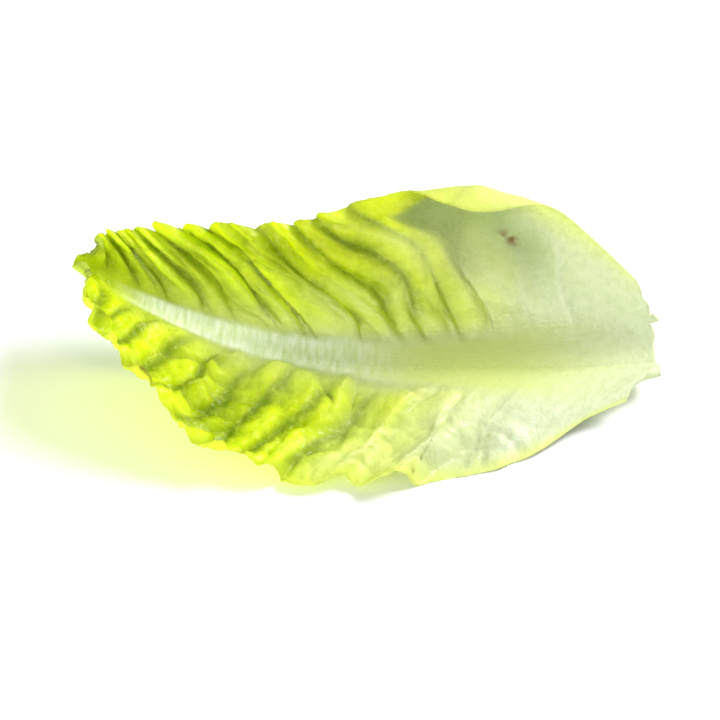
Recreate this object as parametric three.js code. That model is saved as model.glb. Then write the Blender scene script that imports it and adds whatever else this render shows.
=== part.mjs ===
// One loose leaf of little gem lettuce, lying on its back as it comes off the head.
//
// Millimetres, +Z up. The leaf lies along X, with its broad white base at +X and its tip at -X.
// The origin is under the middle of the leaf's box, on the surface that the leaf rests on.
//
// The leaf is one growth, so it is one closed solid. Its inner face is a curved sheet that is
// worked out from a handful of stations along the midrib: how far each half of the blade reaches,
// and how steeply it stands at four places between the midrib and the margin. The solid hangs
// below that sheet, thick at the midrib and thin at the margin.
//
// A point of the sheet is named by two numbers. Along the leaf, vein = 0 is the base and 1 the tip.
// Across it, across = -1 is the near margin, 0 the midrib and 1 the far margin.

import * as THREE from 'three';

// ---- Driving dimensions ---------------------------------------------------------------------

const RIB_LENGTH = 140;          // along the curved midrib, from the base to the tip
const TIP_AT = 0.985;            // the tip is blunt: the sheet stops this far along
const BLADE_THICKNESS = 0.8;     // of the blade beside the midrib
const MARGIN_THINNING = 0.3;     // how much thinner the blade is at its margin
const SIDE_VEINS = 14;           // on each half
const PUFF_HEIGHT = 2.0;         // how far the blade puffs up between two side veins
const VEIN_SWEEP = 0.16;         // how far a side vein leans towards the tip, as a share of the length
const RUFFLE_HEIGHT = 1.1;       // of the waves in the margin
const RUFFLE_WAVES = 9;          // along each margin

// Stations along the midrib, 0 at the base and 1 at the tip, and what each one holds.
const STATIONS = [0, 0.15, 0.3, 0.45, 0.6, 0.75, 0.88, 0.96, 1];
const MIDRIB_Y = [4, 2, 1.5, 1.5, 3, 6, 10, 12.5, 13.5];
const MIDRIB_Z = [6.6, 5.7, 5, 4.6, 5.6, 8.8, 13.5, 18, 20.5];
const RIB_THICKNESS = [6, 5.6, 5, 4.3, 3.4, 2.4, 1.5, 1, 0.8];
const RIB_HALF_WIDTH = [11, 10, 8.5, 7, 5.5, 4, 2.6, 1.6, 1.2];

// Each half of the blade: its width along the curve, and its slope in degrees above level at
// four places across it. The far half stands up and curls over into a hood near the base.
const SLOPE_PLACES = [0, 0.4, 0.8, 1];
const FAR_HALF = {
  direction: 1,
  width: [14, 35, 54, 43.5, 30, 23, 15, 7, 0],
  slopes: [
    [26, 6, -8, -8, -6, 4, 14, 20, 20],
    [64, 69, 71, 69, 64, 56, 50, 45, 45],
    [80, 84, 92, 84, 76, 68, 60, 55, 50],
    [82, 98, 190, 150, 80, 75, 70, 60, 55],
  ],
};
// The near half lies nearly level, turns down at the base and up towards the tip.
const NEAR_HALF = {
  direction: -1,
  width: [14, 25, 33.5, 38.5, 40, 38, 28, 14.5, 0],
  slopes: [
    [35, 24, 16, 13, 10, 8, 12, 15, 20],
    [0, -8, -8, -7, -6, -2, 10, 20, 30],
    [-35, -28, -20, -14, -10, 3, 22, 35, 40],
    [-45, -36, -16, -2, 8, 20, 35, 40, 40],
  ],
};

// The base end is rounded: its corners lie this much nearer the tip than its middle.
const BASE_CORNER = { far: 1.5, near: 4, reach: 0.07 };

// How finely the solid is divided
const ROWS_ALONG = 56;
const COLUMNS_FAR = 16;
const COLUMNS_NEAR = 14;
const MIDRIB_STEPS = 400;
const SECTION_STEPS = 24;

// ---- Curves through the stations --------------------------------------------------------------

// The smooth curve that passes through the given values at the given knots.
function curveThrough(knots, values, at) {
  const last = knots.length - 1;
  const x = Math.min(Math.max(at, knots[0]), knots[last]);
  let k = 0;
  while (k < last - 1 && x >= knots[k + 1]) k += 1;
  const tangent = (i) => {
    const before = Math.max(i - 1, 0);
    const after = Math.min(i + 1, last);
    return (values[after] - values[before]) / (knots[after] - knots[before]);
  };
  const span = knots[k + 1] - knots[k];
  const t = (x - knots[k]) / span;
  const rest = 1 - t;
  return values[k] * (1 + 2 * t) * rest * rest
    + tangent(k) * span * t * rest * rest
    + values[k + 1] * t * t * (3 - 2 * t)
    - tangent(k + 1) * span * t * t * rest;
}

const atStation = (values, along) => curveThrough(STATIONS, values, along);
const ramp = (low, high, x) => THREE.MathUtils.smoothstep(x, low, high);

// ---- The midrib -------------------------------------------------------------------------------

// X runs from the base towards the tip by what is left of each short step of the rib's length
// once its sideways and upward parts are taken off.
function layMidrib() {
  const step = RIB_LENGTH / MIDRIB_STEPS;
  const points = [];
  let x = 0;
  for (let i = 0; i <= MIDRIB_STEPS; i += 1) {
    const along = i / MIDRIB_STEPS;
    const y = atStation(MIDRIB_Y, along);
    const z = atStation(MIDRIB_Z, along);
    if (i > 0) {
      const before = points[i - 1];
      x -= Math.sqrt(step * step - (y - before.y) ** 2 - (z - before.z) ** 2);
    }
    points.push(new THREE.Vector3(x, y, z));
  }
  return points;
}

const midrib = layMidrib();

function midribPoint(along) {
  const place = THREE.MathUtils.clamp(along, 0, 1) * MIDRIB_STEPS;
  const k = Math.min(Math.floor(place), MIDRIB_STEPS - 1);
  return midrib[k].clone().lerp(midrib[k + 1], place - k);
}

// ---- The blade --------------------------------------------------------------------------------

const halfAt = (across) => (across >= 0 ? FAR_HALF : NEAR_HALF);
const halfWidth = (half, along) => Math.max(atStation(half.width, along), 0);

// How far out and up a place lies from the midrib, by following the section's slope to it.
function alongSection(half, along, share) {
  const reach = share * halfWidth(half, along);
  const slopes = half.slopes.map((row) => atStation(row, along));
  let out = 0;
  let up = 0;
  for (let i = 0; i < SECTION_STEPS; i += 1) {
    const place = ((i + 0.5) / SECTION_STEPS) * share;
    const slope = THREE.MathUtils.degToRad(curveThrough(SLOPE_PLACES, slopes, place));
    out += (Math.cos(slope) * reach) / SECTION_STEPS;
    up += (Math.sin(slope) * reach) / SECTION_STEPS;
  }
  return { out, up };
}

// A point of the smooth sheet. A side vein leaves the midrib and leans towards the tip.
function sheetPoint(vein, across) {
  const half = halfAt(across);
  const share = Math.abs(across);
  const lean = VEIN_SWEEP * Math.sin(Math.PI * THREE.MathUtils.clamp(vein, 0, 1)) ** 0.8;
  const room = (1 - vein) / (1.08 - vein);
  const along = THREE.MathUtils.clamp(vein + lean * share ** 1.3 * room, 0, 1);
  const point = midribPoint(along);
  const { out, up } = alongSection(half, along, share);
  const corner = across >= 0 ? BASE_CORNER.far : BASE_CORNER.near;
  point.x -= corner * share * share * Math.exp(-((vein / BASE_CORNER.reach) ** 2));
  point.y += half.direction * out;
  point.z += up;
  return point;
}

// The sheet's upward direction there, from two short steps along it and two across it.
function sheetNormal(vein, across) {
  const step = 0.004;
  const from = Math.max(vein - step, 0);
  const to = Math.min(vein + step, 1);
  const along = sheetPoint(to, across).sub(sheetPoint(from, across));
  const left = Math.max(across - step, -1);
  const right = Math.min(across + step, 1);
  const sideways = sheetPoint(vein, right).sub(sheetPoint(vein, left));
  return sideways.cross(along).normalize();
}

// The blade puffs up between the side veins, more towards the margin, and is smooth at the base.
function puff(vein, across) {
  const share = Math.abs(across);
  const place = SIDE_VEINS * vein + (across >= 0 ? 0 : 0.5);
  const lobe = Math.abs(Math.sin(Math.PI * place)) ** 0.7;
  const towardsMargin = ramp(0.12, 0.35, share) * (0.6 + 0.4 * share);
  const towardsTip = ramp(0.06, 0.3, vein) * (1 - 0.6 * ramp(0.85, 1, vein));
  return PUFF_HEIGHT * towardsMargin * towardsTip * (lobe - 0.5);
}

// The margin is wavy past the smooth base.
function ruffle(vein, across) {
  const share = Math.abs(across);
  const wave = Math.sin(2 * Math.PI * (RUFFLE_WAVES * vein + (across >= 0 ? 0.2 : 0.6)));
  const away = across >= 0 ? 1 : ramp(0.5, 0.7, vein);
  return RUFFLE_HEIGHT * away * ramp(0.7, 1, share) * ramp(0.2, 0.4, vein) * wave;
}

function thickness(vein, across) {
  const share = Math.abs(across);
  const blade = BLADE_THICKNESS - MARGIN_THINNING * share;
  const rib = atStation(RIB_THICKNESS, vein);
  const fromRib = (share * halfWidth(halfAt(across), vein)) / atStation(RIB_HALF_WIDTH, vein);
  return blade + (rib - blade) * Math.exp(-(fromRib ** 3));
}

// ---- The closed solid -------------------------------------------------------------------------

function leafGeometry() {
  const columns = COLUMNS_NEAR + COLUMNS_FAR + 1;
  const rows = ROWS_ALONG + 1;
  const inner = [];
  const outer = [];
  for (let i = 0; i < rows; i += 1) {
    const vein = (TIP_AT * i) / ROWS_ALONG;
    for (let j = 0; j < columns; j += 1) {
      const column = j - COLUMNS_NEAR;
      const across = column < 0 ? column / COLUMNS_NEAR : column / COLUMNS_FAR;
      const normal = sheetNormal(vein, across);
      const top = sheetPoint(vein, across);
      top.addScaledVector(normal, puff(vein, across) + ruffle(vein, across));
      inner.push(top);
      outer.push(top.clone().addScaledVector(normal, -thickness(vein, across)));
    }
  }

  const faces = [];
  const quad = (a, b, c, d) => faces.push(a, b, c, a, c, d);
  const innerAt = (i, j) => i * columns + j;
  const outerAt = (i, j) => rows * columns + i * columns + j;
  for (let i = 0; i < rows - 1; i += 1) {
    for (let j = 0; j < columns - 1; j += 1) {
      quad(innerAt(i, j), innerAt(i, j + 1), innerAt(i + 1, j + 1), innerAt(i + 1, j));
      quad(outerAt(i, j), outerAt(i + 1, j), outerAt(i + 1, j + 1), outerAt(i, j + 1));
    }
    const j = columns - 1;
    quad(innerAt(i, 0), innerAt(i + 1, 0), outerAt(i + 1, 0), outerAt(i, 0));
    quad(innerAt(i, j), outerAt(i, j), outerAt(i + 1, j), innerAt(i + 1, j));
  }
  for (let j = 0; j < columns - 1; j += 1) {
    const i = rows - 1;
    quad(innerAt(0, j), outerAt(0, j), outerAt(0, j + 1), innerAt(0, j + 1));
    quad(innerAt(i, j), innerAt(i, j + 1), outerAt(i, j + 1), outerAt(i, j));
  }

  const geometry = new THREE.BufferGeometry();
  geometry.setFromPoints([...inner, ...outer]);
  geometry.setIndex(faces);
  geometry.computeVertexNormals();
  return geometry;
}

// ---- The part ---------------------------------------------------------------------------------

const leafGreen = new THREE.MeshStandardMaterial({ color: 0xb4cf1e, roughness: 0.45, metalness: 0 });
const leaf = new THREE.Mesh(leafGeometry(), leafGreen);
leaf.name = 'leaf';

// Stand the leaf on the surface, with the middle of its box over the origin.
const box = new THREE.Box3().setFromObject(leaf);
const middle = box.getCenter(new THREE.Vector3());
leaf.geometry.translate(-middle.x, -middle.y, -box.min.z);

const lettuceLeaf = new THREE.Group();
lettuceLeaf.name = 'little_gem_leaf';
lettuceLeaf.add(leaf);

export default lettuceLeaf;
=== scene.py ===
"""A loose leaf of little gem lettuce, lying on its back on a pale table."""

import bpy
import numpy as np
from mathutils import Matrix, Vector


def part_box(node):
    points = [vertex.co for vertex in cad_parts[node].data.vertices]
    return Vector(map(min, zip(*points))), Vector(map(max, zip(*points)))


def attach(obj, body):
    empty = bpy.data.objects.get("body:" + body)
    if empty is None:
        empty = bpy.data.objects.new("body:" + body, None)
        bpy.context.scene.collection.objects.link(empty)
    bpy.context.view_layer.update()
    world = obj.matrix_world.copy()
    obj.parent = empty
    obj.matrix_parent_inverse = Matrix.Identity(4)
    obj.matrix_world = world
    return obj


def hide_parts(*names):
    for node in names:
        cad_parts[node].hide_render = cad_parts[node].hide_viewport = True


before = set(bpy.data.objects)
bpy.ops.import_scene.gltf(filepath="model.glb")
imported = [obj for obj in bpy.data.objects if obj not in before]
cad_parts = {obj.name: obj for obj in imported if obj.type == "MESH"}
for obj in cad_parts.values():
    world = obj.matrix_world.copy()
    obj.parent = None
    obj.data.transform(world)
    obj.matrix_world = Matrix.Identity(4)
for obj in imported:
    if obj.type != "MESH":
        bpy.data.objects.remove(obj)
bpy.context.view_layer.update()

mm = 0.001


# ---- The leaf: its sheet -----------------------------------------------------------------
# One leaf pulled whole off a little gem head: a broad clasping base, a midrib that thins
# towards the tip, and a blade with one half standing up and curling over near the base.
# Its inner face is worked out from stations along the midrib, and the tissue hangs below it.

RIB_LENGTH = 140 * mm
TIP_AT = 0.997
VEIN_SWEEP_FAR = 0.25
VEIN_SWEEP_NEAR = 0.19

# How far back the corners of the base and of the tip are rounded off, and over what share of
# the midrib.
FAR_BASE_CORNER = 6 * mm
NEAR_BASE_CORNER = 9 * mm
BASE_CORNER_REACH = 0.11
TIP_CORNER = 4.5 * mm
TIP_CORNER_REACH = 0.05

# Stations along the midrib, 0 at the base and 1 at the tip, and what each one holds.
STATIONS = np.array([0, 0.15, 0.3, 0.45, 0.6, 0.75, 0.88, 0.96, 1])
MIDRIB_Y = mm * np.array([4, 2, 1.5, 1.5, 3, 6, 10, 12.5, 13.5])
MIDRIB_Z = mm * np.array([6.6, 5.7, 5, 4.6, 5.6, 8.8, 13.5, 18, 20.5])
RIB_THICKNESS = mm * np.array([5.6, 5.4, 4.8, 4.1, 3.2, 2.2, 1.3, 0.8, 0.6])
RIB_HALF_WIDTH = mm * np.array([11, 10, 8.5, 7, 5.5, 4, 2.6, 1.6, 1.2])
RIB_BAND = mm * np.array([15, 13, 10, 7.5, 5.4, 4, 2.6, 1.5, 0.9])

# Each half of the blade: its width along the curve, its slope in degrees above level at four
# places across it, and where along the midrib its side veins start.
SLOPE_PLACES = np.array([0, 0.4, 0.8, 1])
FAR_WIDTH = mm * np.array([20, 42, 60, 46, 33, 25, 17, 9.5, 4])
FAR_SLOPES = np.array([
    [26, 6, -8, -8, -6, 4, 14, 20, 20],
    [64, 69, 71, 69, 64, 56, 50, 45, 45],
    [80, 86, 116, 86, 76, 68, 62, 60, 50],
    [82, 130, 235, 112, 60, 50, 52, 55, 60],
])
FAR_VEINS = [-0.02, 0.05, 0.12, 0.185, 0.25, 0.31, 0.363, 0.405, 0.463, 0.545, 0.6,
             0.68, 0.735, 0.81, 0.865, 0.93, 1.01]
NEAR_WIDTH = mm * np.array([14, 25, 33.5, 38.5, 40, 38, 28.5, 16.5, 6])
NEAR_SLOPES = np.array([
    [35, 24, 16, 13, 10, 8, 12, 15, 20],
    [0, -8, -8, -7, -6, -2, 10, 20, 30],
    [-35, -28, -20, -14, -10, 3, 22, 35, 40],
    [-45, -36, -16, -2, 8, 20, 35, 40, 40],
])
NEAR_VEINS = [-0.03, 0.04, 0.11, 0.19, 0.27, 0.345, 0.43, 0.5, 0.57, 0.64, 0.7, 0.76,
              0.82, 0.88, 0.935, 1.01]


def through(knots, values, at):
    """The smooth curve through the values at the knots, read at each place."""
    last = len(knots) - 1
    before = np.maximum(np.arange(last + 1) - 1, 0)
    after = np.minimum(np.arange(last + 1) + 1, last)
    run = knots[after] - knots[before]
    rise = values[after] - values[before]
    tangents = rise / run.reshape((-1,) + (1,) * (values.ndim - 1))
    at = np.clip(at, knots[0], knots[-1])
    k = np.clip(np.searchsorted(knots, at, side="right") - 1, 0, last - 1)

    def pick(table, row):
        return table[row] if table.ndim == 1 else np.take_along_axis(table, row[None], 0)[0]

    span = knots[k + 1] - knots[k]
    t = (at - knots[k]) / span
    start = pick(values, k) * (1 + 2 * t) + pick(tangents, k) * span * t
    end = pick(values, k + 1) * (3 - 2 * t) - pick(tangents, k + 1) * span * (1 - t)
    return start * (1 - t) ** 2 + end * t ** 2


def at_station(values, along):
    return through(STATIONS, values, along)


def ramp(low, high, x):
    t = np.clip((x - low) / (high - low), 0, 1)
    return t * t * (3 - 2 * t)


def hump(x, middle, reach):
    return np.exp(-((x - middle) / reach) ** 2)


def midrib(along, steps=400):
    places = np.linspace(0, 1, steps + 1)
    y = at_station(MIDRIB_Y, places)
    z = at_station(MIDRIB_Z, places)
    forward = np.sqrt((RIB_LENGTH / steps) ** 2 - np.diff(y) ** 2 - np.diff(z) ** 2)
    x = np.concatenate([[0], -np.cumsum(forward)])
    return [np.interp(along, places, line) for line in (x - (x[0] + x[-1]) / 2, y, z)]


def along_at(vein, across):
    """How far along the midrib a place on a side vein lies, since the veins lean tipwards."""
    sweep = np.where(across >= 0, VEIN_SWEEP_FAR, VEIN_SWEEP_NEAR)
    lean = sweep * np.sin(np.pi * np.clip(vein, 0, 1)) ** 0.8
    room = (1 - vein) / (1.08 - vein)
    return np.clip(vein + lean * np.abs(across) ** 1.2 * room, 0, 1)


def width_at(along, across):
    far = at_station(FAR_WIDTH, along)
    near = at_station(NEAR_WIDTH, along)
    return np.maximum(np.where(across >= 0, far, near), 0)


def sheet(vein, across, steps=30):
    share = np.abs(across)
    along = along_at(vein, across)
    x, y, z = midrib(along)
    reach = share * width_at(along, across)
    far = np.array([at_station(row, along) for row in FAR_SLOPES])
    near = np.array([at_station(row, along) for row in NEAR_SLOPES])
    slopes = np.where(across >= 0, far, near)
    side = np.where(across >= 0, 1, -1)
    for i in range(steps):
        slope = np.radians(through(SLOPE_PLACES, slopes, share * (i + 0.5) / steps))
        y = y + side * np.cos(slope) * reach / steps
        z = z + np.sin(slope) * reach / steps
    base_corner = np.where(across >= 0, FAR_BASE_CORNER, NEAR_BASE_CORNER)
    x = x - base_corner * share ** 1.5 * np.exp(-(vein / BASE_CORNER_REACH) ** 2)
    x = x + TIP_CORNER * share ** 2 * np.exp(-((1 - vein) / TIP_CORNER_REACH) ** 2)
    return np.stack([x, y, z], -1)


def unit(vectors):
    return vectors / np.maximum(np.linalg.norm(vectors, axis=-1, keepdims=True), 1e-12)


def facing(points):
    """The direction that each point of a grid of points faces."""
    along, sideways = np.gradient(points, axis=0), np.gradient(points, axis=1)
    return unit(np.cross(sideways, along))


# ---- The leaf: how it puckers ------------------------------------------------------------
# The blade grows faster than its veins, so it puffs up between them in long cushions, blisters
# inside those, and ruffles at the margin where nothing holds it.

ROWS = 296
COLUMNS_NEAR = 68
COLUMNS_FAR = 92
rows_at = np.linspace(0, TIP_AT, ROWS + 1)
near_at = -np.linspace(1, 0, COLUMNS_NEAR + 1)
far_at = np.linspace(0, 1, COLUMNS_FAR + 1)[1:]
vein, across = np.meshgrid(rows_at, np.concatenate([near_at, far_at]), indexing="ij")
share = np.abs(across)
far = across >= 0


def by_half(far_value, near_value):
    """The first value on the far half of the blade, and the second on the near half."""
    return np.where(far, far_value, near_value)


along = along_at(vein, across)
reach = share * width_at(along, across)
flat_x = along * RIB_LENGTH
flat_y = reach * by_half(1, -1)


def drift(a, b, seed):
    """A smooth random field from -1 to 1 that changes once in each unit of a and b."""
    lattice = np.random.default_rng(seed).uniform(-1, 1, (64, 64))
    i, j = np.floor(a).astype(int), np.floor(b).astype(int)
    p, q = a - i, b - j
    p, q = p * p * (3 - 2 * p), q * q * (3 - 2 * q)
    low = lattice[i % 64, j % 64] * (1 - p) + lattice[(i + 1) % 64, j % 64] * p
    high = lattice[i % 64, (j + 1) % 64] * (1 - p) + lattice[(i + 1) % 64, (j + 1) % 64] * p
    return low * (1 - q) + high * q


def cells(a, b, seed):
    """How deep inside its cell a place lies: 0 on the border between two cells, 1 far inside."""
    scatter = np.random.default_rng(seed).uniform(0.15, 0.85, (64, 64, 2))
    i, j = np.floor(a).astype(int), np.floor(b).astype(int)
    nearest = np.full(a.shape, 9.0)
    second = np.full(a.shape, 9.0)
    for di in (-1, 0, 1):
        for dj in (-1, 0, 1):
            seeds = scatter[(i + di) % 64, (j + dj) % 64]
            away = np.hypot(i + di + seeds[..., 0] - a, j + dj + seeds[..., 1] - b)
            second = np.minimum(second, np.maximum(nearest, away))
            nearest = np.minimum(nearest, away)
    return np.clip((second - nearest) * 1.6, 0, 1)


# How high each kind of pucker stands off the smooth sheet.
PILLOW_HEIGHT = by_half(2.2, 1.9) * mm
CREST_HEIGHT = by_half(1.3, 2.3) * mm
SOFT_FOLD_HEIGHT = 1.3 * mm
BLISTER_HEIGHT = 0.8 * mm
CRINKLE_HEIGHT = 0.34 * mm
RUFFLE_HEIGHT = 2.6 * mm
FRILL_HEIGHT = 2.4 * mm
LOBE_HEIGHT = 3.2 * mm
BILLOW_HEIGHT = 1.6 * mm
VEIN_RIDGE = 0.7 * mm
DIMPLE_DEPTH = 3.2 * mm
FOLD_HEIGHT = 7 * mm
TUCK_DEPTH = 3.5 * mm
SMALL_FOLD_HEIGHT = 3.5 * mm

# Which gap between two side veins a place lies in, how far across it, and how wide it is.
wobble = 0.022 * drift(flat_x / (15 * mm), flat_y / (10 * mm) + 20, 3)
wander = vein + wobble * ramp(0.1, 0.5, share)
far_lane = np.interp(wander, FAR_VEINS, range(len(FAR_VEINS)))
near_lane = np.interp(wander, NEAR_VEINS, range(len(NEAR_VEINS)))
lane = by_half(far_lane, near_lane)
gap_number = lane.astype(int)
far_gaps, near_gaps = np.diff(FAR_VEINS), np.diff(NEAR_VEINS)
far_gap = far_gaps[np.minimum(gap_number, len(far_gaps) - 1)]
near_gap = near_gaps[np.minimum(gap_number, len(near_gaps) - 1)]
gap = RIB_LENGTH * by_half(far_gap, near_gap)
in_gap = lane - gap_number
from_vein = np.minimum(in_gap, 1 - in_gap) * gap

# Long cushions between the side veins, lower beside the midrib and gone at the smooth base.
band = at_station(RIB_BAND, along)
off_rib = ramp(band * 0.8, band + 5 * mm, reach)
grown_from = vein + 0.13 * ramp(0.4, 0.85, share) * ~far
grown = ramp(0.1, 0.42, grown_from) * (1 - 0.45 * ramp(0.85, 1, vein))
hood = hump(vein, 0.24, 0.13) * ramp(0.3, 0.5, share) * far
round_top = by_half(1.0, 0.7) + 0.8 * ramp(0.6, 1, share)
cushion = np.sin(np.pi * in_gap ** by_half(0.7, 0.85)) ** round_top
uneven = 0.8 + 0.8 * drift(gap_number * 3.7, reach / (16 * mm), 5)
cushion_height = gap * by_half(0.55, 0.15) * off_rib * grown * (1 - 0.85 * hood) * uneven
cushion_height = cushion_height * (1 - 0.1 * ramp(0.7, 1, share) * far)
overlap = gap * by_half(0.3, 0.08) * (1 - 0.7 * ramp(0.6, 1, share)) * cushion
overlap = overlap * off_rib * grown * (1 - 0.9 * hood) * uneven

# Pillows that run along the veins, but close and branch where they like.
stray = drift(flat_x / (13 * mm), flat_y / (9 * mm), 6)
pillow_across = lane * by_half(1.3, 0.75) + by_half(0.5, 0.9) * stray
pillow = cells(pillow_across, reach / by_half(17 * mm, 22 * mm) + 7, 14) ** 0.7
pillow_height = PILLOW_HEIGHT * off_rib * grown * (1 - 0.8 * hood)

# Sharp crests that run outwards with the veins, and soft folds in the smooth base.
crest_line = lane * 1.1 + 0.5 * drift(flat_x / (9 * mm), flat_y / (12 * mm), 43)
crest = 1 - 1.9 * np.abs(drift(crest_line, reach / (21 * mm) + 30, 44))
crest_height = CREST_HEIGHT * off_rib * grown * (1 - 0.8 * hood)
soft_fold = drift(vein * 21, reach / (35 * mm), 52)
smooth_part = (1 - grown) * ramp(0.2, 0.5, share) + hood
soft_height = SOFT_FOLD_HEIGHT * smooth_part * (1 - 0.6 * ramp(0.85, 1, share))

# Blisters inside the cushions, and crinkles inside those.
blister = cells(flat_x / (6.5 * mm), flat_y / (5 * mm), 11) ** 0.7
blister_height = BLISTER_HEIGHT * ramp(0.25, 0.7, share) * ramp(0.15, 0.5, grown_from)
blister_height = blister_height * by_half(0.95, 1.1) * (1 - 0.7 * hood)
crinkle = cells(flat_x / (2.4 * mm), flat_y / (2.0 * mm), 12) ** 0.8
crinkle_height = CRINKLE_HEIGHT * off_rib * ramp(0.15, 0.45, grown_from)

# Waves and lobes in the margin, and broad billows in the blade.
wave = drift(vein * 13, by_half(3.5, 9.5), 21)
wave = wave + 0.35 * drift(vein * 31, by_half(1, 7), 22)
ruffle_height = RUFFLE_HEIGHT * ramp(0.6, 1, share) * ramp(0.15, 0.35, grown_from) * (1 - 0.6 * hood)
frill_height = FRILL_HEIGHT * hump(vein, 0.28, 0.1) * ramp(0.55, 0.95, share) * ~far
ruffle_height = ruffle_height + frill_height
lobe = drift(vein * 9.5, 0 * share + 40, 61)
lobe = lobe * ramp(0.5, 0.9, share) * ramp(0.3, 0.45, vein) * far
billow = drift(flat_x / (17 * mm), flat_y / (15 * mm) + 8, 25)
billow_height = BILLOW_HEIGHT * ramp(0.3, 0.6, share) * ramp(0.25, 0.5, vein) * (1 - hood)

lift = cushion_height * (cushion - 0.45) + pillow_height * (pillow - 0.6)
lift = lift + blister_height * (blister - 0.5) + crinkle_height * (crinkle - 0.5)
lift = lift + ruffle_height * wave + billow_height * billow + crest_height * (crest - 0.3)
lift = lift + soft_height * soft_fold + LOBE_HEIGHT * lobe

# Pale ridges over the side veins, where the base is smooth.
pale_vein = np.exp(-(from_vein / (0.9 * mm)) ** 2) * ramp(0.03, 0.12, vein) * (1 - ramp(0.28, 0.45, vein))
pale_vein = pale_vein * ramp(0.5, 1.6, reach / band) * (1 - share)
lift = lift + VEIN_RIDGE * pale_vein

# The near half is dimpled once, and its margin is tucked up in a deep fold and a smaller one.
dimple = hump(vein, 0.56, 0.028) * hump(across, -0.82, 0.1)
lift = lift - DIMPLE_DEPTH * dimple
fold = hump(vein, 0.27, 0.026) * ramp(0.5, 0.95, share) * ~far
tuck = hump(vein, 0.225, 0.02) * ramp(0.55, 1, share) * ~far
small_fold = hump(vein, 0.355, 0.018) * ramp(0.6, 1, share) * ~far
lift = lift + FOLD_HEIGHT * fold - TUCK_DEPTH * tuck + SMALL_FOLD_HEIGHT * small_fold


# ---- The leaf: its solid -----------------------------------------------------------------
# The blade is about half a millimetre thick. The midrib and side veins stand out on its back,
# and the base is torn where it came off the stalk.

BLADE = 0.55 * mm
MARGIN_THINNING = 0.2 * mm
VEIN_DEPTH = 0.7 * mm
SCALLOP_DEPTH = by_half(4.2, 2.2) * mm
USUAL_GAP = 8 * mm

smooth = sheet(vein, across)
outwards = facing(smooth)

# The margin is notched where each side vein runs out, and the torn base is ragged.
ragged = 0.5 * drift(vein * 23, share, 30) + 0.3 * drift(vein * 50, share, 31)
notch = (0.35 * (cushion - 0.6) + ragged) * mm
sideways = unit(np.gradient(smooth, axis=1))
spread = notch * share ** 8 * ramp(0.12, 0.3, vein) * by_half(1, -1)
scallop = np.sin(np.pi * in_gap) ** 0.5
scallop_depth = SCALLOP_DEPTH * gap / USUAL_GAP * uneven * ramp(0.35, 1, share) ** 2
scallop_depth = scallop_depth * ramp(0.3, 0.42, grown_from) * (1 - 0.8 * ramp(0.88, 0.98, vein))
spread = spread + scallop_depth * (scallop - 0.55) * by_half(1, -1)
torn = 0.8 * drift(across * 9, vein * 0, 32)
torn = torn + 2.0 * hump(across, 0.5, 0.03) + 1.6 * hump(across, -0.97, 0.04)
basewards = unit(-np.gradient(smooth, axis=0))
inner = smooth + outwards * lift[..., None] + sideways * spread[..., None]
inner = inner + basewards * overlap[..., None]
inner[..., 0] += torn * mm * (1 - ramp(0, 0.03, vein))

rib_there = np.exp(-(reach / at_station(RIB_HALF_WIDTH, along)) ** 3)
torn_thin = 0.45 + 0.55 * ramp(0, 0.06, vein)
rib_depth = (at_station(RIB_THICKNESS, vein) - BLADE) * rib_there * torn_thin
blade_depth = BLADE - MARGIN_THINNING * share
vein_width = (0.5 + 0.6 * (1 - share)) * mm
vein_depth = VEIN_DEPTH * np.exp(-(from_vein / vein_width) ** 2)
vein_depth = vein_depth * (1 - share) ** 0.7 * ramp(0.02, 0.1, vein)
outer = inner - facing(inner) * (blade_depth + vein_depth)[..., None]
outer = outer - outwards * rib_depth[..., None]


def settle(points, gap=0.8 * mm):
    """Presses what reaches the table flat against it."""
    z = points[..., 2]
    points[..., 2] = np.where(z < gap, gap * np.exp((z - gap) / gap), z)


table = (smooth - outwards * (blade_depth + rib_depth)[..., None])[..., 2].min()
for face in (inner, outer):
    face[..., 2] -= table
    settle(face)

lowest = np.minimum(inner.reshape(-1, 3).min(0), outer.reshape(-1, 3).min(0))
highest = np.maximum(inner.reshape(-1, 3).max(0), outer.reshape(-1, 3).max(0))
cad_low, cad_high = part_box("leaf")
place = (np.array(cad_low) + np.array(cad_high)) / 2 - (lowest + highest) / 2
place[2] = cad_low[2] - lowest[2]
points = np.concatenate([inner.reshape(-1, 3), outer.reshape(-1, 3)]) + place

rows, columns = vein.shape
number = np.arange(rows * columns).reshape(rows, columns)
below = number + rows * columns


def quads(a, b, c, d):
    return np.stack([a, b, c, d], -1).reshape(-1, 4)


faces = np.concatenate([
    quads(number[:-1, :-1], number[:-1, 1:], number[1:, 1:], number[1:, :-1]),
    quads(below[:-1, :-1], below[1:, :-1], below[1:, 1:], below[:-1, 1:]),
    quads(number[:-1, 0], number[1:, 0], below[1:, 0], below[:-1, 0]),
    quads(number[:-1, -1], below[:-1, -1], below[1:, -1], number[1:, -1]),
    quads(number[0, :-1], below[0, :-1], below[0, 1:], number[0, 1:]),
    quads(number[-1, :-1], number[-1, 1:], below[-1, 1:], below[-1, :-1]),
])
mesh = bpy.data.meshes.new("lettuce_leaf")
mesh.from_pydata(points.tolist(), [], faces.tolist())
mesh.shade_smooth()
leaf = bpy.data.objects.new("lettuce_leaf", mesh)
bpy.context.collection.objects.link(leaf)


# ---- The leaf: its finish ----------------------------------------------------------------
# Moist leaf tissue: yellow-green and thin enough to glow in the blade, almost white and
# watery in the midrib and base. The back is paler and duller than the inner face.

def keep(name, inner_values, outer_values=None):
    """Stores a number for each point of both faces, for the material to read."""
    outer_values = inner_values if outer_values is None else outer_values
    layer = mesh.attributes.new(name, "FLOAT", "POINT")
    values = np.concatenate([np.ravel(inner_values), np.ravel(outer_values)]).astype(np.float32)
    layer.data.foreach_set("value", values)


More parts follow.
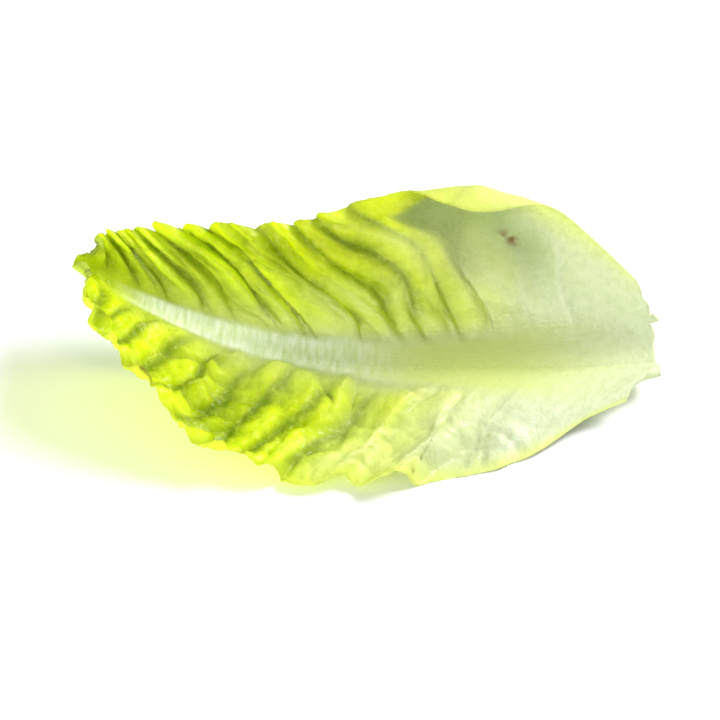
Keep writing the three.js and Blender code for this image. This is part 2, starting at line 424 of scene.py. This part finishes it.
# Painted light and shade: the tops of the cushions, pillows, blisters and crests are painted brighter,
# and the low parts between them darker.
relief_light_and_shade = 0.5 + 0.6 * (cushion - 0.5) + 0.45 * (pillow - 0.6)
relief_light_and_shade = relief_light_and_shade + 0.25 * (blister - 0.5) + 0.35 * (crest - 0.3)
relief_light_and_shade = np.clip(0.6 + (relief_light_and_shade - 0.6) * off_rib * grown, 0, 1)
blotch = 0.05 * drift(lane * 1.3, reach / (9 * mm), 41)
base_pale = 1 - ramp(0.12, by_half(0.42, 0.5), vein + 0.06 * share * far + blotch)
rolled = ramp(0.7, 0.86, share) * hump(vein, 0.24, 0.14) * far
base_pale = base_pale * (1 - 0.9 * rolled)
beside_rib = np.exp(-(np.maximum(reach - band, 0) / (5 * mm)) ** 1.2) * (1 - ramp(0.5, 0.95, vein))
# Painted highlights: pale patches on the tops of lobes and cushions, added to the real pale of the base
# and midrib.
lobe_highlight = hump(vein, 0.475, 0.03) * hump(across, 0.34, 0.17)
far_crest_highlight = hump(vein, 0.42, 0.14) * hump(across, 0.33, 0.2) * ramp(0.4, 0.9, cushion)
near_crest_highlight = hump(vein, 0.33, 0.13) * hump(across, -0.72, 0.2) * ramp(0.5, 0.9, pillow)
lobe_highlight = np.minimum(lobe_highlight + 0.8 * far_crest_highlight + 0.8 * near_crest_highlight, 1)
pale_and_highlit = np.maximum(np.maximum(base_pale, 0.75 * beside_rib), 0.4 * lobe_highlight)
pale_and_highlit = np.clip(pale_and_highlit, 0, 1)
rib_white = (1 - ramp(band * 0.7, band * 1.25, reach)) * ramp(-0.05, 0.3, vein)
rib_white = rib_white * (1 - ramp(0.82, 0.94, vein))
# Painted shade: the blade is darkened in the grooves along the side veins.
groove_shade = np.exp(-(from_vein / (1.35 * mm)) ** 2) * off_rib * grown
# Painted shade: the hollow under the rolled-over part of the far half is painted a dull grey-green and
# lets little light through.
hollow_shade = ramp(0.1, 0.22, wander) * (1 - ramp(0.262, 0.285, wander))
hollow_shade = hollow_shade * (0.7 + 0.5 * ramp(0.5, 0.78, share))
hollow_shade = hollow_shade + 0.3 * hump(vein, 0.14, 0.05)
hollow_shade = np.clip(hollow_shade, 0, 1)
hollow_shade = hollow_shade * ramp(0.28, 0.55, share) * (1 - ramp(0.84, 0.89, share)) * far
keep("hollow_shade", hollow_shade, np.zeros_like(hollow_shade))
thin = (1 - 0.8 * base_pale) * (1 - rib_white) * (1 - 0.5 * hood)
thin = thin * (1 - 0.95 * hollow_shade) * (1 - 0.4 * rolled)
keep("thin", thin)
keep("relief_light_and_shade", relief_light_and_shade)
keep("pale_and_highlit", pale_and_highlit)
keep("rib_white", rib_white)
keep("watery_rib", 1 - ramp(0.35, 0.6, vein))
keep("groove_shade", groove_shade)
keep("side_vein", np.exp(-(from_vein / (0.5 * mm)) ** 2) * ramp(0.05, 0.2, vein) * (1 - share))
keep("margin", ramp(0.82, 1, share) * by_half(0.6, 1.0))
keep("pale_vein", pale_vein)
keep("inner_face", np.ones_like(vein), np.zeros_like(vein))
nick = hump(vein, 0.72, 0.02) * ramp(0.94, 1, share) * ~far
smudge = hump(vein, 0.177, 0.016) * hump(across, 0.6, 0.03)
keep("bruise", np.clip(nick + smudge, 0, 1))
flat_map = mesh.attributes.new("flat_map", "FLOAT_VECTOR", "POINT")
flat = np.stack([np.ravel(flat_x), np.ravel(flat_y), np.zeros(flat_x.size)], -1)
flat_map.data.foreach_set("vector", np.concatenate([flat, flat]).astype(np.float32).ravel())


def paint(code):
    """A colour from its six-digit code, in the linear values that a shader takes."""
    shades = [int(code[i:i + 2], 16) / 255 for i in (0, 2, 4)]
    return tuple(s / 12.92 if s <= 0.04045 else ((s + 0.055) / 1.055) ** 2.4 for s in shades) + (1,)


tissue = bpy.data.materials.new("leaf_tissue")
tissue.use_nodes = True
tree = tissue.node_tree
tree.nodes.clear()


def node(kind, inputs=(), **settings):
    """Adds a node to the tree. An input is a value, or the socket that feeds it."""
    made = tree.nodes.new(kind)
    for name, value in settings.items():
        setattr(made, name, value)
    for name, value in dict(inputs).items():
        if isinstance(value, bpy.types.NodeSocket):
            tree.links.new(value, made.inputs[name])
        else:
            made.inputs[name].default_value = value
    return made


def stored(name):
    kind = "Vector" if name == "flat_map" else "Fac"
    return node("ShaderNodeAttribute", attribute_name=name).outputs[kind]


def math_of(operation, a, b=0.0, c=0.0):
    return node("ShaderNodeMath", {0: a, 1: b, 2: c}, operation=operation).outputs[0]


def blend(amount, a, b):
    mix = node("ShaderNodeMix", {0: amount, 6: a, 7: b}, data_type="RGBA")
    return mix.outputs[2]


def remap(value, low, high, to_low=0.0, to_high=1.0):
    inputs = {0: value, 1: low, 2: high, 3: to_low, 4: to_high}
    return node("ShaderNodeMapRange", inputs, interpolation_type="SMOOTHSTEP").outputs[0]


flat_place = stored("flat_map")
patches = node("ShaderNodeTexNoise", {"Vector": flat_place, "Scale": 90, "Detail": 3}).outputs["Fac"]
mottle = node("ShaderNodeTexNoise", {"Vector": flat_place, "Scale": 420, "Detail": 4}).outputs["Fac"]
net = node("ShaderNodeTexVoronoi", {"Vector": flat_place, "Scale": 520}, feature="DISTANCE_TO_EDGE")
net_line = remap(net.outputs["Distance"], 0.0, 0.3, 1.0, 0.0)
fine = node("ShaderNodeTexVoronoi", {"Vector": flat_place, "Scale": 1500}, feature="F1")

# Painted light and shade: dark olive in the low parts of the relief, bright yellow on its tops.
fresh = blend(stored("relief_light_and_shade"), paint("6c8400"), paint("e0ec00"))
fresh = blend(remap(patches, 0.48, 0.72, 0, 0.55), fresh, paint("ecf24e"))
# Painted shade in the grooves along the side veins.
fresh = blend(math_of("MULTIPLY", stored("groove_shade"), 0.85), fresh, paint("667c00"))
fresh = blend(math_of("MULTIPLY", net_line, 0.1), fresh, paint("e4ee90"))
fresh = blend(remap(mottle, 0.5, 0.75, 0, 0.35), fresh, paint("f0f46c"))
fresh = blend(remap(mottle, 0.45, 0.25, 0, 0.3), fresh, paint("7c9600"))
creamy = math_of("PINGPONG", stored("pale_and_highlit"), 0.5)
fresh = blend(math_of("MULTIPLY", creamy, 1.8), fresh, paint("f2f48c"))
watery = blend(mottle, paint("bfca9a"), paint("e0e6c8"))
# Painted shade in the grooves of the pale base as well.
watery = blend(math_of("MULTIPLY", stored("groove_shade"), 0.3), watery, paint("bdd070"))
watery = blend(math_of("MULTIPLY", stored("pale_vein"), 0.7), watery, paint("f0f3dc"))
# Where the tissue is pale, and where highlights are painted on the lobes, the blade turns watery white.
colour = blend(stored("pale_and_highlit"), fresh, watery)
# Painted shade: the dull grey-green of the hollow under the rolled-over edge.
hollow_shade_colour = blend(patches, paint("6c7e34"), paint("9fac78"))
colour = blend(math_of("MULTIPLY", stored("hollow_shade"), 0.85), colour, hollow_shade_colour)
pleats = node("ShaderNodeMapping", {"Vector": flat_place, "Scale": (900, 140, 1)}).outputs[0]
pleat = node("ShaderNodeTexNoise", {"Vector": pleats, "Scale": 1, "Detail": 4}).outputs["Fac"]
# The midrib is white in itself; the whiter streaks along its cross pleats are painted highlights.
rib_colour = blend(remap(pleat, 0.3, 0.7), paint("d8e6bc"), paint("f6faec"))
rib_colour = blend(stored("watery_rib"), rib_colour, paint("c8d282"))
colour = blend(stored("rib_white"), colour, rib_colour)
back = blend(0.3, colour, paint("d2de9a"))
back = blend(math_of("MULTIPLY", stored("side_vein"), 0.5), back, paint("e3ecc4"))
colour = blend(stored("inner_face"), back, colour)
colour = blend(math_of("MULTIPLY", stored("margin"), 0.5), colour, paint("e4ee40"))
bruised = math_of("MULTIPLY", stored("bruise"), remap(mottle, 0.35, 0.6))
colour = blend(bruised, colour, paint("6c5420"))

fading = math_of("MULTIPLY", stored("rib_white"), math_of("SUBTRACT", 1.0, stored("watery_rib")))
pleat = math_of("MULTIPLY", pleat, fading)
fibres = node("ShaderNodeMapping", {"Vector": flat_place, "Scale": (60, 900, 1)}).outputs[0]
fibre = node("ShaderNodeTexNoise", {"Vector": fibres, "Scale": 1, "Detail": 2}).outputs["Fac"]
fibre = math_of("MULTIPLY", fibre, math_of("MULTIPLY", stored("pale_and_highlit"), 0.35))
skin = math_of("MULTIPLY", fine.outputs["Distance"], 0.12)
relief = math_of("ADD", math_of("MULTIPLY", net_line, -0.12), skin)
relief = math_of("MULTIPLY", relief, math_of("SUBTRACT", 1.0, stored("rib_white")))
relief = math_of("ADD", relief, math_of("ADD", math_of("MULTIPLY", pleat, 1.3), fibre))
relief = math_of("ADD", relief, math_of("MULTIPLY", mottle, 0.25))
bump = node("ShaderNodeBump", {"Height": relief, "Strength": 0.7, "Distance": 0.0006}).outputs[0]

duller = remap(mottle, 0.3, 0.7, 0.2, 0.44)
on_the_back = math_of("SUBTRACT", 1.0, stored("inner_face"))
roughness = math_of("ADD", duller, math_of("MULTIPLY", on_the_back, 0.14))
surface = node("ShaderNodeBsdfPrincipled", {
    "Base Color": colour, "Roughness": roughness, "Normal": bump,
    "IOR": 1.38, "Specular IOR Level": 0.32, "Subsurface Weight": 0.12, "Subsurface Scale": 0.002,
    "Subsurface Radius": (1.0, 1.0, 0.3),
})
glow_colour = blend(0.5, colour, paint("e8f400"))
through_light = node("ShaderNodeBsdfTranslucent", {"Color": glow_colour, "Normal": bump})
lets_light_through = math_of("MULTIPLY", stored("thin"), 0.5)
mixed = node("ShaderNodeMixShader", {
    0: lets_light_through, 1: surface.outputs[0], 2: through_light.outputs[0],
})
shaded = node("ShaderNodeLightPath").outputs["Is Shadow Ray"]
lets_sun_through = math_of("MULTIPLY", stored("thin"), 0.8)
lets_sun_through = math_of("MULTIPLY", lets_sun_through, shaded)
green_shade = node("ShaderNodeBsdfTransparent", {"Color": paint("ecf24a")})
cast = node("ShaderNodeMixShader", {
    0: lets_sun_through, 1: mixed.outputs[0], 2: green_shade.outputs[0],
})
node("ShaderNodeOutputMaterial", {"Surface": cast.outputs[0]})

mesh.materials.append(tissue)
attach(leaf, "root")
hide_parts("leaf")


# ---- The table ---------------------------------------------------------------------------
# A plain pale top that the leaf rests on.

TABLE_SIZE = 3.0
bpy.ops.mesh.primitive_plane_add(size=TABLE_SIZE, location=(0, 0, 0))
floor = bpy.context.object
floor.name = "table_top"
pale_top = bpy.data.materials.new("pale_top")
pale_top.use_nodes = True
pale_shader = pale_top.node_tree.nodes["Principled BSDF"]
pale_shader.inputs["Base Color"].default_value = paint("eef0f2")
pale_shader.inputs["Roughness"].default_value = 0.6
floor.data.materials.append(pale_top)


# ---- Light -------------------------------------------------------------------------------
# A broad window behind the leaf and to its right, and a bright room all round.

LIT_PLACE = (0, 0, 0.01)
ROOM_STRENGTH = 0.45


def window(name, place, size, power, tint):
    light = bpy.data.lights.new(name, "AREA")
    light.shape = "DISK"
    light.size = size
    light.energy = power
    light.color = tint
    lamp = bpy.data.objects.new(name, light)
    lamp.location = place
    towards = Vector(LIT_PLACE) - Vector(place)
    lamp.rotation_euler = towards.to_track_quat("-Z", "Y").to_euler()
    bpy.context.collection.objects.link(lamp)


window("side_window", place=(0.75, 0.42, 0.75), size=0.55, power=18, tint=(1.0, 0.99, 0.96))
window("room_fill", place=(-0.5, -0.95, 0.42), size=0.7, power=9, tint=(0.97, 0.98, 1.0))
room = bpy.data.worlds.new("room")
room.use_nodes = True
room.node_tree.nodes["Background"].inputs["Color"].default_value = (0.95, 0.98, 1.0, 1)
room.node_tree.nodes["Background"].inputs["Strength"].default_value = ROOM_STRENGTH
bpy.context.scene.world = room
bpy.context.scene.view_settings.view_transform = "Standard"


# ---- Camera ------------------------------------------------------------------------------
# A long lens in front of the leaf, looking down on it at about 40 degrees.

FOCAL_LENGTH = 128
SENSOR_WIDTH = 36
CAMERA_PLACE = (0.0329, -0.4443, 0.3815)
CAMERA_AIM = (0, 0, 0.013)

lens = bpy.data.cameras.new("camera")
lens.lens = FOCAL_LENGTH
lens.sensor_width = SENSOR_WIDTH
camera = bpy.data.objects.new("camera", lens)
camera.location = CAMERA_PLACE
sight_line = Vector(CAMERA_AIM) - camera.location
camera.rotation_euler = sight_line.to_track_quat("-Z", "Y").to_euler()
bpy.context.collection.objects.link(camera)
bpy.context.scene.camera = camera
